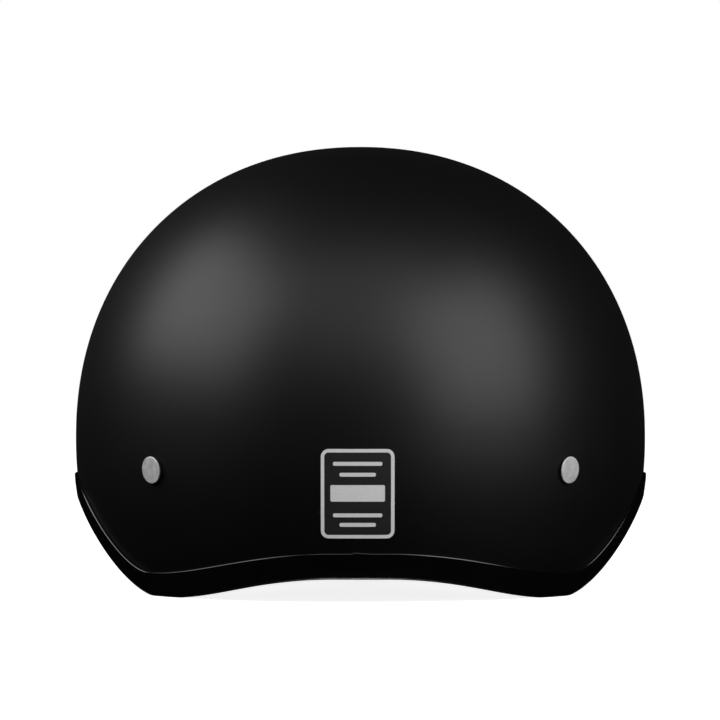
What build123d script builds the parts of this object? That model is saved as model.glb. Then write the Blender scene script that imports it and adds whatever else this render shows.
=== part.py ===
"""Half shell motorcycle helmet: moulded shell, edge trim, foam liner, comfort pads and riveted straps.

The helmet stands on its rim with +Z up and faces -Y, so the wearer's left is +X. The origin is under
the middle of the shell, on the surface that the rim stands on. Sizes are millimetres and degrees.
The shell, the liner and the pads are nested domes. Each dome is a superellipse profile turned about
a vertical axis, then stretched lengthwise by one amount behind the axis and another in front of it.
Angles round the helmet start at the back centre (0), pass the ears (90) and end at the brow (180).
The straps lie folded into the helmet, in a plane that slopes from a hinge line down to the middle.
"""

import math
import os

from build123d import *

# Shell
shell_width = 238.0
rear_reach = 134.0
front_reach = 150.0
shell_height = 183.4
widest_level = 62.0
shell_wall = 3.0
profile_power = 2.13

# Rim line: heights of the trim's lower edge above the standing surface, and where they occur
nape_rise = 9.2
ear_rise = 37.0
brow_rise = 4.0
corner_sink = 0.6
nape_end_angle = 5.0
rear_corner_angle = 50.0
ear_start_angle = 86.0
ear_end_angle = 100.0
front_corner_angle = 150.0

# Edge trim
trim_lip = 1.0
trim_web = 1.6
trim_side_clearance = 0.25
trim_seat_clearance = 0.4
trim_outer_height = 10.4
trim_inner_height = 6.0
trim_corner_radius = 1.2
trim_seam_angle = 1.5
trim_seam_gap = 0.25

# Foam liner
layer_gap = 0.3
liner_wall = 23.0
liner_recess = 10.5
pocket_clearance = 0.3

# Comfort pads
pad_depth = 8.0
pad_height = 46.0
pad_recess = 8.0
crown_pad_radius = 56.0
crown_pad_depth = 9.0

side_pad_angle = 94.0
side_pad_half_angle = 30.0
side_pad_drop = 6.0
brow_pad_half_angle = 34.0
nape_pad_half_angle = 32.0

# Strap webbing, folded into the helmet
webbing_width = 20.0
webbing_thickness = 1.6
fold_gap = 0.4
hinge_gap = 0.4
hinge_across = 60.0
hinge_level = 6.9
tip_across = 8.0
tip_level = 3.8
tip_along = 5.0
joggle_height = 9.0
joggle_lap = 1.5
tab_top_margin = 12.0
tab_drop_height = 8.5
turn_relief = 0.6
ring_strap_length = 38.0
chin_fold_length = 36.0

# Strap rivets and their washers
rear_rivet_angle = 43.5
rear_rivet_level = 51.1
front_rivet_angle = 133.0
front_rivet_level = 60.0
rivet_head_diameter = 10.6
rivet_head_thickness = 1.4
rivet_edge_round = 0.3
rivet_shank_diameter = 4.0
rivet_tail_diameter = 6.4
rivet_tail_thickness = 1.0
rivet_hole_clearance = 0.15
rivet_seat_gap = 0.05
washer_diameter = 12.0
washer_thickness = 0.9
washer_seat_gap = 0.3
rivet_pocket_diameter = 15.0
rivet_pocket_margin = 0.8

# D rings in the loop of the ring strap
ring_wire = 4.0
ring_width = 28.0
ring_corner_radius = 4.0
ring_clearance = 0.15
loop_floor_gap = 3.0

# Snap on the straps
snap_diameter = 12.0
snap_thickness = 2.4
snap_edge_round = 0.8
stud_diameter = 11.0
stud_base_thickness = 1.0
stud_post_diameter = 4.2
stud_post_height = 2.6
snap_seat_gap = 0.05
snap_share = 0.5

# Rear label
label_width = 28.4
label_height = 34.6
label_corner_radius = 3.0
label_thickness = 0.3
label_seat_gap = 0.25
label_level = 42.8
label_shift = 1.1

# Sampling counts, shares and the overrun shared by all cuts
profile_steps = 20
rim_steps = 72
rim_probe_angle = 0.5
cut_inner_share = 0.3
cut_outer_share = 1.25
pad_section_shares = [(0.0, 0.0), (0.1, 0.55), (0.3, 0.93), (0.5, 1.0), (0.7, 0.93), (0.9, 0.55), (1.0, 0.0)]
pad_end_shares = [
    (0.0, 0.45, 0.72),
    (0.12, 0.86, 0.92),
    (0.3, 1.0, 1.0),
    (0.7, 1.0, 1.0),
    (0.88, 0.86, 0.92),
    (1.0, 0.45, 0.72),
]
crown_pad_shares = [(1.0, 0.0), (0.93, 0.62), (0.72, 0.97), (0.4, 0.9), (0.0, 0.8)]
overrun = 20.0

half_width = shell_width / 2
axis_y = (front_reach - rear_reach) / 2
edge_lift = trim_web + trim_seat_clearance
liner_inset = shell_wall + layer_gap
cavity_inset = liner_inset + liner_wall
pad_inset = cavity_inset + layer_gap
trim_inset = shell_wall + trim_side_clearance + trim_lip

# Strap plane: X runs from the hinge line to the tip of the folded straps, Z points up
fall = (hinge_level - tip_level) / math.hypot(hinge_across - tip_across, hinge_level - tip_level)
slope = math.asin(fall)
strap_plane = Plane((hinge_across, 0, hinge_level), x_dir=(-math.cos(slope), 0, -math.sin(slope)),
                    z_dir=(-math.sin(slope), 0, math.cos(slope)))
tip_u = (hinge_across - tip_across) / math.cos(slope)
tip_v = -tip_along
half_webbing = webbing_thickness / 2
layer_pitch = webbing_thickness + fold_gap

# Rivet stack, as depths under the shell's outer surface
upper_inset = shell_wall + layer_gap
lower_inset = trim_inset + layer_gap
washer_depth = upper_inset + webbing_thickness + washer_seat_gap
tail_depth = washer_depth + washer_thickness + rivet_seat_gap
hole_diameter = rivet_shank_diameter + 2 * rivet_hole_clearance
pocket_depth = tail_depth + rivet_tail_thickness + rivet_pocket_margin

# Loop of the ring strap
radius_in = ring_wire / 2 + ring_clearance
radius_out = radius_in + webbing_thickness
ring_pitch = ring_wire + 2 * ring_clearance
loop_u = tip_u - ring_strap_length - radius_out
loop_low = loop_floor_gap - (hinge_level - loop_u * math.sin(slope))


def profile_share(z, inset):
    """Radius at height z as a share of the radius at the widest level; the cavity runs straight down."""
    if inset >= cavity_inset and z < widest_level:
        return 1.0
    rise = shell_height - inset - widest_level
    return max(0.0, 1 - abs((z - widest_level) / rise) ** profile_power) ** (1 / profile_power)


def reach_at(turn):
    """Length from the axis to the front or the back of the outer surface."""
    return rear_reach if math.cos(turn) > 0 else front_reach


def wall_point(angle, z, inset):
    """Point at height z on the dome that lies `inset` inside the shell's outer surface."""
    turn = math.radians(angle)
    across = half_width * math.sin(turn)
    along = reach_at(turn) * math.cos(turn)
    stretch = math.hypot(across / (half_width - inset), along / (reach_at(turn) - inset))
    share = profile_share(z, inset) / stretch
    return Vector(across * share, axis_y + along * share, z)


def wall_plane(angle, z, inset):
    """Plane on that dome: normal outwards, X level along the wall."""
    step = math.degrees(overrun / shell_height)
    level = (wall_point(angle + step, z, inset) - wall_point(angle - step, z, inset)).normalized()
    rise = wall_point(angle, z + overrun / 2, inset) - wall_point(angle, z - overrun / 2, inset)
    return Plane(wall_point(angle, z, inset), x_dir=level, z_dir=rise.cross(level))


def turned(profile, inset):
    """Revolve a profile drawn in the XZ plane, then stretch each half as the shell is stretched."""
    width = half_width - inset
    halves = []
    for reach, start in ((rear_reach, 0), (front_reach, 180)):
        half = Solid.revolve(Face(profile.rotate(Axis.Z, start)), 180, Axis.Z)
        halves.append(scale(half, by=(1, (reach - inset) / width, 1)))
    return Pos(0, axis_y, 0) * (halves[0] + halves[1])


def dome(inset):
    """Solid dome that lies `inset` inside the shell's outer surface and runs below the rim."""
    width = half_width - inset
    rise = shell_height - inset - widest_level
    straight = inset >= cavity_inset
    foot = 0 if straight else -math.asin(((widest_level + overrun) / rise) ** (profile_power / 2))
    points = []
    for step in range(profile_steps + 1):
        turn = foot + (math.pi / 2 - foot) * step / profile_steps
        across = width * max(0.0, math.cos(turn)) ** (2 / profile_power)
        up = math.copysign(rise * abs(math.sin(turn)) ** (2 / profile_power), turn)
        points.append(Vector(across if step < profile_steps else 0, 0, widest_level + up))
    start = Vector(0, 0, 1) if straight else points[1] - points[0]
    edges = [Spline(*points, tangents=[start, Vector(-1, 0, 0)])]
    low = Vector(points[0].X, 0, -overrun)
    if straight:
        edges.append(Line(low, points[0]))
    low_centre = Vector(0, 0, low.Z)
    return turned(Wire(edges + [Line(points[-1], low_centre), Line(low_centre, low)]), inset)


def rim_height(angle):
    """Height of the trim's lower edge: half waves between the named stations."""
    stations = [
        (0, nape_rise),
        (nape_end_angle, nape_rise),
        (rear_corner_angle, -corner_sink),
        (ear_start_angle, ear_rise),
        (ear_end_angle, ear_rise),
        (front_corner_angle, -corner_sink),
        (180, brow_rise),
    ]
    turned_by = abs((angle + 180) % 360 - 180)
    for (start, low), (end, high) in zip(stations, stations[1:]):
        if turned_by <= end:
            return low + (high - low) * (1 - math.cos(math.pi * (turned_by - start) / (end - start))) / 2
    return brow_rise


def rim_under_strap(angle):
    """Lowest and highest trim edge below the width of a strap that hangs at this angle."""
    spread = math.degrees(webbing_width / 2 / half_width)
    heights = [rim_height(angle - spread), rim_height(angle), rim_height(angle + spread)]
    return min(heights), max(heights)


def rim_stretch(angle):
    """How much taller an upright cut across the sloping trim is than a square one."""
    before = angle - rim_probe_angle
    after = angle + rim_probe_angle
    run = wall_point(after, rim_height(after), 0) - wall_point(before, rim_height(before), 0)
    return run.length / math.hypot(run.X, run.Y)


def below_rim(lift):
    """Ring-shaped cutter for everything under the rim line raised by `lift`."""

    def ring(share):
        points = []
        for step in range(rim_steps):
            angle = trim_seam_angle + 360 * step / rim_steps
            turn = math.radians(angle)
            height = rim_height(angle) + lift * rim_stretch(angle)
            across = half_width * share * math.sin(turn)
            points.append((across, axis_y + reach_at(turn) * share * math.cos(turn), height))
        places = [step / rim_steps for step in range(rim_steps + 1)]
        return Edge.make_spline(points, periodic=True, parameters=places)

    top = Face.make_surface_from_curves(ring(cut_inner_share), ring(cut_outer_share))
    return Solid.extrude(top, Vector(0, 0, -(lift + ear_rise + 2 * overrun)))


def trim_section(angle):
    """Closed U profile of the edge trim, upright at this angle round the rim."""
    stretch = rim_stretch(angle)
    base = rim_height(angle)
    web = base + trim_web * stretch
    outer_tip = base + (trim_outer_height - trim_lip / 2) * stretch
    inner_tip = base + (trim_inner_height - trim_lip / 2) * stretch
    corner = trim_corner_radius * stretch
    groove_out = -trim_side_clearance
    groove_in = shell_wall + trim_side_clearance
    outside = groove_out - trim_lip
    inside = groove_in + trim_lip
    tip = trim_lip / 2 * stretch
    outer_low = wall_point(angle, base + corner, outside)
    inner_low = wall_point(angle, base + corner, inside)
    inward = (inner_low - outer_low).normalized() * trim_corner_radius
    down = Vector(0, 0, -corner)
    bend = 1 - math.sqrt(0.5)
    return Wire([
        Line(outer_low, wall_point(angle, outer_tip, outside)),
        ThreePointArc(wall_point(angle, outer_tip, outside),
                      wall_point(angle, outer_tip + tip, (outside + groove_out) / 2),
                      wall_point(angle, outer_tip, groove_out)),
        Line(wall_point(angle, outer_tip, groove_out), wall_point(angle, web, groove_out)),
        Line(wall_point(angle, web, groove_out), wall_point(angle, web, groove_in)),
        Line(wall_point(angle, web, groove_in), wall_point(angle, inner_tip, groove_in)),
        ThreePointArc(wall_point(angle, inner_tip, groove_in),
                      wall_point(angle, inner_tip + tip, (inside + groove_in) / 2),
                      wall_point(angle, inner_tip, inside)),
        Line(wall_point(angle, inner_tip, inside), inner_low),
        ThreePointArc(inner_low, inner_low - inward * bend + down * (1 - bend), inner_low - inward + down),
        Line(inner_low - inward + down, outer_low + inward + down),
        ThreePointArc(outer_low + inward + down, outer_low + inward * bend + down * (1 - bend), outer_low),
    ])


def make_edge_trim():
    """U channel pushed on the shell's edge, butted at the back and flattened where it stands."""
    half_gap = math.degrees(trim_seam_gap / 2 / rear_reach)
    turn = 360 - 2 * half_gap
    sections = []
    for step in range(rim_steps + 1):
        sections.append(trim_section(trim_seam_angle + half_gap + turn * step / rim_steps))
    floor = Box(2 * shell_width, 2 * shell_width, overrun, align=(Align.CENTER, Align.CENTER, Align.MAX))
    return Solid.make_loft(sections) - floor


def rivet_cylinder(plane, diameter, start, end):
    """Round bar on the rivet's axis between two depths under the outer surface."""
    bar = Cylinder(diameter / 2, end - start, align=(Align.CENTER, Align.CENTER, Align.MAX))
    return plane * Pos(0, 0, -start) * bar


def make_rivet(plane):
    """Rivet with a flat round head outside, a shank through the stack and a set tail inside."""
    head = Cylinder(rivet_head_diameter / 2, rivet_head_thickness,
                    align=(Align.CENTER, Align.CENTER, Align.MIN))
    head = fillet(head.edges().group_by(Axis.Z)[-1], rivet_edge_round)
    shank = rivet_cylinder(plane, rivet_shank_diameter, -rivet_seat_gap - rivet_head_thickness / 2, tail_depth)
    tail = rivet_cylinder(plane, rivet_tail_diameter, tail_depth, tail_depth + rivet_tail_thickness)
    return plane * Pos(0, 0, rivet_seat_gap) * head + shank + tail


def webbing_rectangle(plane, length):
    """Wire of the webbing's cross section: `length` along the plane's X, its thickness along Y."""
    return (plane * Rectangle(length, webbing_thickness)).wire()


def make_strap_tab(angle, rivet_plane, upper_band, lower_band, drop, leg_at_hinge):
    """Riveted end of a strap: it lies on the shell, steps inside the trim's lip and turns to the hinge."""
    top = rivet_plane.origin.Z + tab_top_margin
    step_level = rim_under_strap(angle)[1] + joggle_height
    direction = Plane(rivet_plane.origin, x_dir=rivet_plane.x_dir, z_dir=(0, 0, 1))

    def strip(low, high):
        strip_box = Box(webbing_width, 2 * overrun, high - low, align=(Align.CENTER, Align.CENTER, Align.MIN))
        return direction * Pos(0, 0, low - rivet_plane.origin.Z) * strip_box

    upper = upper_band & strip(step_level - joggle_lap, top)
    lower = lower_band & strip(drop, step_level)
    start = wall_point(angle, drop, lower_inset + half_webbing + turn_relief)
    start_plane = Plane(start, x_dir=rivet_plane.x_dir, z_dir=(0, 0, -1))
    first, last = leg_at_hinge
    middle = strap_plane.from_local_coords((-hinge_gap, (first + last) / 2, 0))
    end_plane = Plane(middle, x_dir=strap_plane.y_dir, z_dir=strap_plane.x_dir)
    turn = Solid.make_loft([
        webbing_rectangle(start_plane, webbing_width),
        webbing_rectangle(end_plane, last - first),
    ], True)
    tab = upper + lower + turn
    return tab - rivet_cylinder(rivet_plane, hole_diameter, -overrun / 2, overrun)


def leg_outline(start, end):
    """Edges of a leg of webbing from start to end in the strap plane, cut off along the hinge line."""
    run = math.hypot(end[0] - start[0], end[1] - start[1])
    along = ((end[0] - start[0]) / run, (end[1] - start[1]) / run)
    side = (-along[1] * webbing_width / 2, along[0] * webbing_width / 2)
    hinge_points = []
    for sign in (-1, 1):
        edge = (start[0] + sign * side[0], start[1] + sign * side[1])
        travel = -edge[0] / along[0]
        hinge_points.append(edge[1] + along[1] * travel)
    return along, side, sorted(hinge_points)


def plate(corners, low, high):
    """Flat piece with this outline in the strap plane, between two heights over that plane."""
    face = make_face(Polyline(*corners, close=True))
    return strap_plane * (Pos(0, 0, low) * extrude(face, high - low))


def band(start, end, low, high, width=webbing_width):
    """Straight strip of webbing in the strap plane, centred on the folded straps' line."""
    corners = [(start, tip_v - width / 2), (end, tip_v - width / 2), (end, tip_v + width / 2),
               (start, tip_v + width / 2)]
    return plate(corners, low, high)


def make_d_ring(height):
    """Closed ring of round wire: a straight bar through the strap's loop and a half-round bow."""
    half = ring_width / 2
    corner = ring_corner_radius
    bow = corner + half
    bend = corner * (1 - math.sqrt(0.5))
    path = Wire([
        Line((0, corner - half), (0, half - corner)),
        ThreePointArc((0, half - corner), (bend, half - bend), (corner, half)),
        ThreePointArc((corner, half), (bow, 0), (corner, -half)),
        ThreePointArc((corner, -half), (bend, bend - half), (0, corner - half)),
    ])
    start = Plane((0, 0, 0), x_dir=(1, 0, 0), z_dir=(0, 1, 0))
    ring = sweep(start * Circle(ring_wire / 2), path=path)
    return strap_plane * Pos(loop_u, tip_v, height) * Rot(0, 0, 180) * ring


def stadium(radius, length):
    """Upright rounded slot shape, cut across the strap, around the two bars of the rings."""
    low = loop_low + radius_out
    outline = Wire([
        Line((loop_u - radius, low), (loop_u - radius, low + length)),
        ThreePointArc((loop_u - radius, low + length), (loop_u, low + length + radius),
                      (loop_u + radius, low + length)),
        Line((loop_u + radius, low + length), (loop_u + radius, low)),
        ThreePointArc((loop_u + radius, low), (loop_u, low - radius), (loop_u - radius, low)),
    ])
    return outline


def across_strap(outline, width):
    """Extrude an outline drawn in (along, over) strap coordinates across the webbing."""
    sheet = Plane(origin=(0, 0, 0), x_dir=(1, 0, 0), z_dir=(0, -1, 0)) * Face(outline)
    solid = Solid.extrude(sheet, Vector(0, width, 0))
    return strap_plane * Pos(0, tip_v - width / 2, 0) * solid


def make_pad(middle_angle, half_angle, base_rise):
    """Cushion on the liner's inner face: crowned inwards, drawn in at its edges and thinner at its ends."""
    sections = []
    low = rim_height(middle_angle) + liner_recess + pad_recess + base_rise
    for place, depth_share, height_share in pad_end_shares:
        angle = middle_angle + half_angle * (2 * place - 1)
        height = pad_height * height_share
        foot = low + (pad_height - height) / 2
        outer = []
        inner = []
        for share, depth in pad_section_shares:
            outer.append(wall_point(angle, foot + height * share, pad_inset))
            inner.append(wall_point(angle, foot + height * share, pad_inset + pad_depth * depth * depth_share))
        sections.append(Wire([Spline(*outer), Spline(*reversed(inner))]))
    return Solid.make_loft(sections)


def make_crown_pad():
    """Round cushion under the crown, shaped to the liner and thickest in a ring round its middle."""
    outer = []
    width = half_width - pad_inset
    rise = shell_height - pad_inset - widest_level
    for share, _ in crown_pad_shares:
        across = crown_pad_radius * share
        outer.append(Vector(across, 0, widest_level + rise * (1 - (across / width) ** profile_power)
                            ** (1 / profile_power)))
    inner = [point - Vector(0, 0, crown_pad_depth * depth) for point, (_, depth) in zip(outer, crown_pad_shares)]
    level = Vector(-1, 0, 0)
    top = Spline(*outer, tangents=[outer[1] - outer[0], level])
    bottom = Spline(*inner, tangents=[inner[1] - inner[0], level])
    return turned(Wire([top, Line(outer[-1], inner[-1]), bottom]), pad_inset)


def make_leg(end, side_of_tip):
    """Leg of the yoke in the strap plane, from the hinge line to the middle of the stitched tip."""
    along, side, _ = legs[end]
    near = (tip_end[0] - along[0] * shell_width, tip_end[1] - along[1] * shell_width)
    far = (tip_end[0] + along[0] * webbing_width, tip_end[1] + along[1] * webbing_width)
    strip = plate([(near[0] - side[0], near[1] - side[1]), (far[0] - side[0], far[1] - side[1]),
                   (far[0] + side[0], far[1] + side[1]), (near[0] + side[0], near[1] + side[1])],
                  -half_webbing, half_webbing)
    edge = tip_v + side_of_tip * shell_width
    window = plate([(0, tip_v), (tip_u, tip_v), (tip_u, edge), (0, edge)], -half_webbing, half_webbing)
    return strip & window


def make_label(level_layer):
    """Thin plate with rounded corners that follows the back of the shell."""
    outline = RectangleRounded(label_width, label_height, label_corner_radius)
    through = extrude(Plane.XZ * Pos(label_shift, label_level, 0) * outline, -shell_width)
    return level_layer & through


def make_snap_cap(plane):
    """Pressed cap of the snap: a shallow round cup with a rolled edge."""
    cap = Cylinder(snap_diameter / 2, snap_thickness, align=(Align.CENTER, Align.CENTER, Align.MIN))
    cap = fillet(cap.edges().group_by(Axis.Z)[-1], snap_edge_round)
    return plane * cap


def make_snap_stud(plane):
    """Stud of the snap: a round base plate with a short post."""
    base = Cylinder(stud_diameter / 2, stud_base_thickness, align=(Align.CENTER, Align.CENTER, Align.MIN))
    post = Cylinder(stud_post_diameter / 2, stud_post_height, align=(Align.CENTER, Align.CENTER, Align.MIN))
    post = fillet(post.edges().group_by(Axis.Z)[-1], snap_edge_round)
    return plane * (base + post)


def pocket_cutters(end, layer):
    """Room in the liner's outer face for a strap tab and its rivet tail."""
    plane = rivet_planes[end]
    low = -overrun - plane.origin.Z
    tall = overrun + plane.origin.Z + tab_top_margin + pocket_clearance
    strip = Box(webbing_width + 2 * pocket_clearance, 2 * overrun, tall,
                align=(Align.CENTER, Align.CENTER, Align.MIN))
    direction = Plane(plane.origin, x_dir=plane.x_dir, z_dir=(0, 0, 1))
    return [layer & (direction * Pos(0, 0, low) * strip),
            rivet_cylinder(plane, rivet_pocket_diameter, 0, pocket_depth)]


rivet_planes = {
    "rear": wall_plane(rear_rivet_angle, rear_rivet_level, 0),
    "front": wall_plane(front_rivet_angle, front_rivet_level, 0),
}
rivet_angles = {"rear": rear_rivet_angle, "front": front_rivet_angle}
drops = {end: rim_under_strap(angle)[0] + tab_drop_height for end, angle in rivet_angles.items()}

# Legs of the yoke: from the riveted tabs to the stitched tip, in strap plane coordinates
tip_end = (tip_u - webbing_width / 2, tip_v)
legs = {}
for end, angle in rivet_angles.items():
    wall = wall_point(angle, drops[end], lower_inset + half_webbing + turn_relief)
    local = strap_plane.to_local_coords(wall)
    legs[end] = leg_outline((local.X, local.Y), tip_end)

# Shell, trim and label
pieces = {}
pieces["edge_trim"] = make_edge_trim()
shell = dome(0) - dome(shell_wall) - below_rim(edge_lift)
for plane in rivet_planes.values():
    hole = rivet_cylinder(plane, hole_diameter, -overrun / 2, overrun)
    shell = shell - hole - mirror(hole, Plane.YZ)
pieces["outer_shell"] = shell
pieces["rear_label"] = make_label(dome(-label_seat_gap - label_thickness) - dome(-label_seat_gap))

# Liner and comfort pads
pocket_layer = dome(shell_wall) - dome(lower_inset + webbing_thickness + pocket_clearance)
liner = dome(liner_inset) - dome(cavity_inset) - below_rim(liner_recess)
for end in rivet_planes:
    for cutter in pocket_cutters(end, pocket_layer):
        liner = liner - cutter - mirror(cutter, Plane.YZ)
pieces["impact_liner"] = liner
pieces["crown_pad"] = make_crown_pad()
pieces["brow_pad"] = make_pad(180, brow_pad_half_angle, 0)
pieces["nape_pad"] = make_pad(0, nape_pad_half_angle, 0)
side_pad = make_pad(side_pad_angle, side_pad_half_angle, -side_pad_drop)
pieces["side_pad_left"] = side_pad
pieces["side_pad_right"] = mirror(side_pad, Plane.YZ)

# Riveted strap ends, with one washer behind each
upper_layer = dome(upper_inset) - dome(upper_inset + webbing_thickness)
lower_layer = dome(lower_inset) - dome(lower_inset + webbing_thickness)
washers = []
for end, plane in rivet_planes.items():
    tab = make_strap_tab(rivet_angles[end], plane, upper_layer, lower_layer, drops[end], legs[end][2])
    rivet = make_rivet(plane)
    washer = rivet_cylinder(plane, washer_diameter, washer_depth, washer_depth + washer_thickness)
    washer = washer - rivet_cylinder(plane, hole_diameter, 0, overrun)
    pieces[f"strap_tab_{end}_left"] = tab
    pieces[f"strap_tab_{end}_right"] = mirror(tab, Plane.YZ)
    pieces[f"rivet_{end}_left"] = rivet
    pieces[f"rivet_{end}_right"] = mirror(rivet, Plane.YZ)
    washers += [washer, mirror(washer, Plane.YZ)]
pieces["rivet_washers"] = Compound(washers)

# Yokes: the front leg carries the square tip, and the rear leg is stitched against it
tip_plate = band(tip_u - webbing_width, tip_u, -half_webbing, half_webbing)
front_leg = make_leg("front", 1) + tip_plate
rear_leg = make_leg("rear", -1) - tip_plate
pieces["yoke_leg_front_left"] = front_leg
pieces["yoke_leg_front_right"] = mirror(front_leg, Plane.YZ)
pieces["yoke_leg_rear_left"] = rear_leg
pieces["yoke_leg_rear_right"] = mirror(rear_leg, Plane.YZ)

# Ring strap on the left: two layers stitched together behind a loop that holds both rings
strap_low = half_webbing + fold_gap
ring_strap_top = strap_low + 2 * webbing_thickness
loop = across_strap(stadium(radius_out, ring_pitch), webbing_width)
eye = across_strap(stadium(radius_in, ring_pitch), webbing_width + overrun)
pieces["ring_strap"] = band(loop_u, tip_u, strap_low, ring_strap_top) + loop - eye
pieces["d_ring_lower"] = make_d_ring(loop_low + radius_out)
pieces["d_ring_upper"] = make_d_ring(loop_low + radius_out + ring_pitch)
stud_u = tip_u - snap_share * ring_strap_length
pieces["snap_stud"] = make_snap_stud(strap_plane * Pos(stud_u, tip_v, ring_strap_top + snap_seat_gap))

# Chin strap on the right: five lengths folded over each other, with the snap's cap near the end
outer_u = tip_u - chin_fold_length
chin_lengths = ("first", "second", "third", "fourth", "end")
for layer, name in enumerate(chin_lengths):
    low = strap_low + layer * layer_pitch
    length = band(outer_u, tip_u, low, low + webbing_thickness)
    pieces[f"chin_strap_{name}"] = mirror(length, Plane.YZ)
cap_u = outer_u + snap_diameter
cap = make_snap_cap(strap_plane * Pos(cap_u, tip_v, low + webbing_thickness + snap_seat_gap))
pieces["snap_cap"] = mirror(cap, Plane.YZ)

os.makedirs("parts", exist_ok=True)
for name, piece in pieces.items():
    piece.label = name
    export_step(piece, f"parts/{name}.step")

print("slope", math.degrees(slope))
print("yoke hinge", strap_plane.from_local_coords((0, tip_v, -half_webbing)))
for layer in range(len(chin_lengths)):
    height = strap_low - fold_gap / 2 + layer * layer_pitch
    print("fold", layer, "tip", strap_plane.from_local_coords((tip_u, tip_v, height)),
          "outer", strap_plane.from_local_coords((outer_u, tip_v, height)))
for height in (loop_low + radius_out, loop_low + radius_out + ring_pitch):
    print("ring bar", strap_plane.from_local_coords((loop_u, tip_v, height)))
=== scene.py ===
"""Half shell motorcycle helmet with riveted straps: the look of every piece, fitted round its CAD frame.

Lengths are metres. The helmet stands on its rim, +Z is up and it faces -Y, so the wearer's left is +X.
Angles round the helmet are degrees: 0 at the back centre, 90 at the left ear and 180 at the brow.
"""

import math

import bmesh
import bpy
import numpy as np
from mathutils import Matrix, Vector


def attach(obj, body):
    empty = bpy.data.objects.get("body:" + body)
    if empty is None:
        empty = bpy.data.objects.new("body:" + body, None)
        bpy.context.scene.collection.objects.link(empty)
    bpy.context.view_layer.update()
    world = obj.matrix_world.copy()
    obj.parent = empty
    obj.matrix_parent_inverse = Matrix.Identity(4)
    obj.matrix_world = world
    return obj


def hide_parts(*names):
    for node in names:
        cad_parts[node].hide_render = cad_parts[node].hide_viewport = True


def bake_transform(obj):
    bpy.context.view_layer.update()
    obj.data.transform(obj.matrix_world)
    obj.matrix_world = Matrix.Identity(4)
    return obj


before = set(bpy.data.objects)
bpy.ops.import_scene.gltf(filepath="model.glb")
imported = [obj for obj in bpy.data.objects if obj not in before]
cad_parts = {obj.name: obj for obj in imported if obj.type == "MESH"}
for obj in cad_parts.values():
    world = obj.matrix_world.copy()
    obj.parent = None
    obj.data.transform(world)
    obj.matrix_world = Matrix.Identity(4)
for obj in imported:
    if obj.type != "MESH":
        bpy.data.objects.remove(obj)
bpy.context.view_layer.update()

# Outer shell
# One moulded cap of black plastic, 3 mm thick, with a fine matte skin. Its form is a superellipse turned
# about a vertical axis and stretched lengthwise, and its lower edge sits in the channel of the trim.
mm = 0.001
half_width = 119 * mm
rear_reach = 134 * mm
front_reach = 150 * mm
shell_height = 183.4 * mm
widest_level = 62 * mm
shell_wall = 3 * mm
profile_power = 2.13
cavity_inset = 26.3 * mm
axis_y = (front_reach - rear_reach) / 2
station_angles = np.array([0, 5, 50, 86, 100, 150, 180])
station_heights = np.array([9.2, 9.2, -0.6, 37.0, 37.0, -0.6, 4.0]) * mm
shell_edge_lift = 2 * mm
shell_columns = 96
shell_turns = 360
slope_step = 1.0
hands = (("left", 1), ("right", -1))


def profile_share(z, inset):
    """Radius at height z over the largest radius: (1 - (height share)^power)^(1/power).

    Under the widest level the cavity inside the foam runs straight down, with a share of one.
    """
    rise = shell_height - inset - widest_level
    share = np.clip(1 - np.abs((z - widest_level) / rise) ** profile_power, 0, None) ** (1 / profile_power)
    return np.where((inset >= cavity_inset) & (z < widest_level), 1.0, share)


def wall_points(angle, z, inset):
    """Points at height z on the dome `inset` inside the shell.

    Level cuts are half ellipses, one length behind the axis and another before it, times the profile's share.
    """
    angle, z, inset = np.broadcast_arrays(np.asarray(angle, float), z, inset)
    turn = np.radians(angle)
    reach = np.where(np.cos(turn) > 0, rear_reach, front_reach)
    across = half_width * np.sin(turn)
    along = reach * np.cos(turn)
    stretch = np.hypot(across / (half_width - inset), along / (reach - inset))
    share = profile_share(z, inset) / stretch
    return np.stack([across * share, axis_y + along * share, z], -1)


def rim_height(angle):
    """Height of the trim's lower edge: half cosine waves between the stations."""
    turned = np.abs((np.asarray(angle, float) + 180) % 360 - 180)
    place = np.interp(turned, station_angles, np.arange(len(station_angles)))
    start = np.minimum(place.astype(int), len(station_angles) - 2)
    wave = (1 - np.cos(np.pi * (place - start))) / 2
    return station_heights[start] + (station_heights[start + 1] - station_heights[start]) * wave


def rim_stretch(angle):
    """How much taller an upright cut across the sloping rim is than a square one."""
    before, after = angle - slope_step / 2, angle + slope_step / 2
    run = wall_points(after, rim_height(after), 0) - wall_points(before, rim_height(before), 0)
    return np.linalg.norm(run, axis=-1) / np.hypot(run[..., 0], run[..., 1])


def unit(vectors):
    """Vectors of the same directions, one long."""
    return vectors / np.linalg.norm(vectors, axis=-1, keepdims=True)


def both_faces(front, back):
    """One grid that runs down a front face and back up the face behind it."""
    return np.concatenate([front, back[:, ::-1]], 1)


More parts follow.
